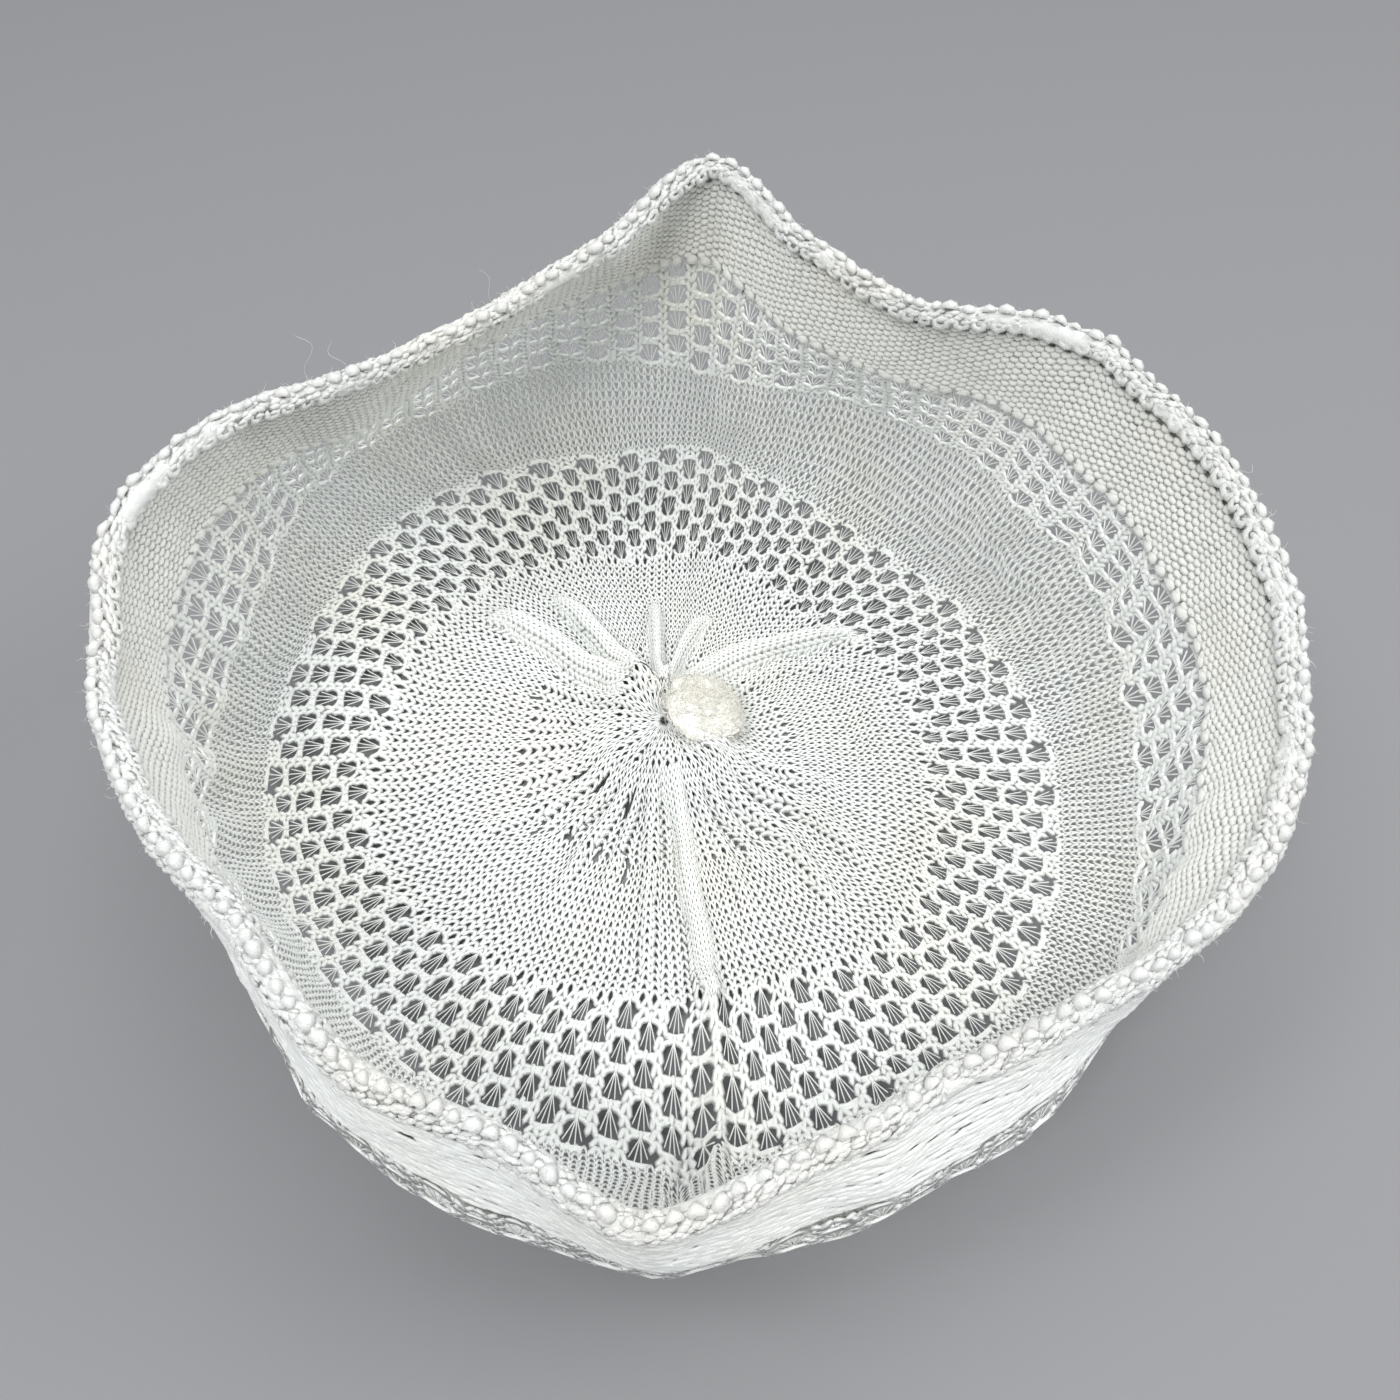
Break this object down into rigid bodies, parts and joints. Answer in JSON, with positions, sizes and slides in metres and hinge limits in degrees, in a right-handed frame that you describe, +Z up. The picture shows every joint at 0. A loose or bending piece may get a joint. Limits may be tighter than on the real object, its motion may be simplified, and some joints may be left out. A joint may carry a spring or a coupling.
{
  "type": "prayer cap",
  "caption": "White knitted cotton prayer cap with two lace rings, a turned-in band and a picot edge, lying upside down on its gathered crown.",
  "frame": {"origin": "middle of the bounding box, on the plane that the crown rests on", "axes": "+Z up, from the crown that it rests on towards the opening; +Y from the low side of the rim towards its high peak; +X to the right as seen from the low side"},
  "size_m": [0.1623, 0.1751, 0.0711],
  "materials": {
    "knit_cotton": "machine-knitted white cotton, matt",
    "facing_cotton": "machine-knitted white cotton, purl side out, matt",
    "edge_cotton": "looped white cotton yarn, matt",
    "felted_fibre": "matted cream cotton fibre"
  },
  "bodies": {
    "root": {"knit_body": "knit_cotton", "hem_facing": "facing_cotton", "picot_rim": "edge_cotton", "crown_tuft": "felted_fibre"}
  },
  "joints": []
}
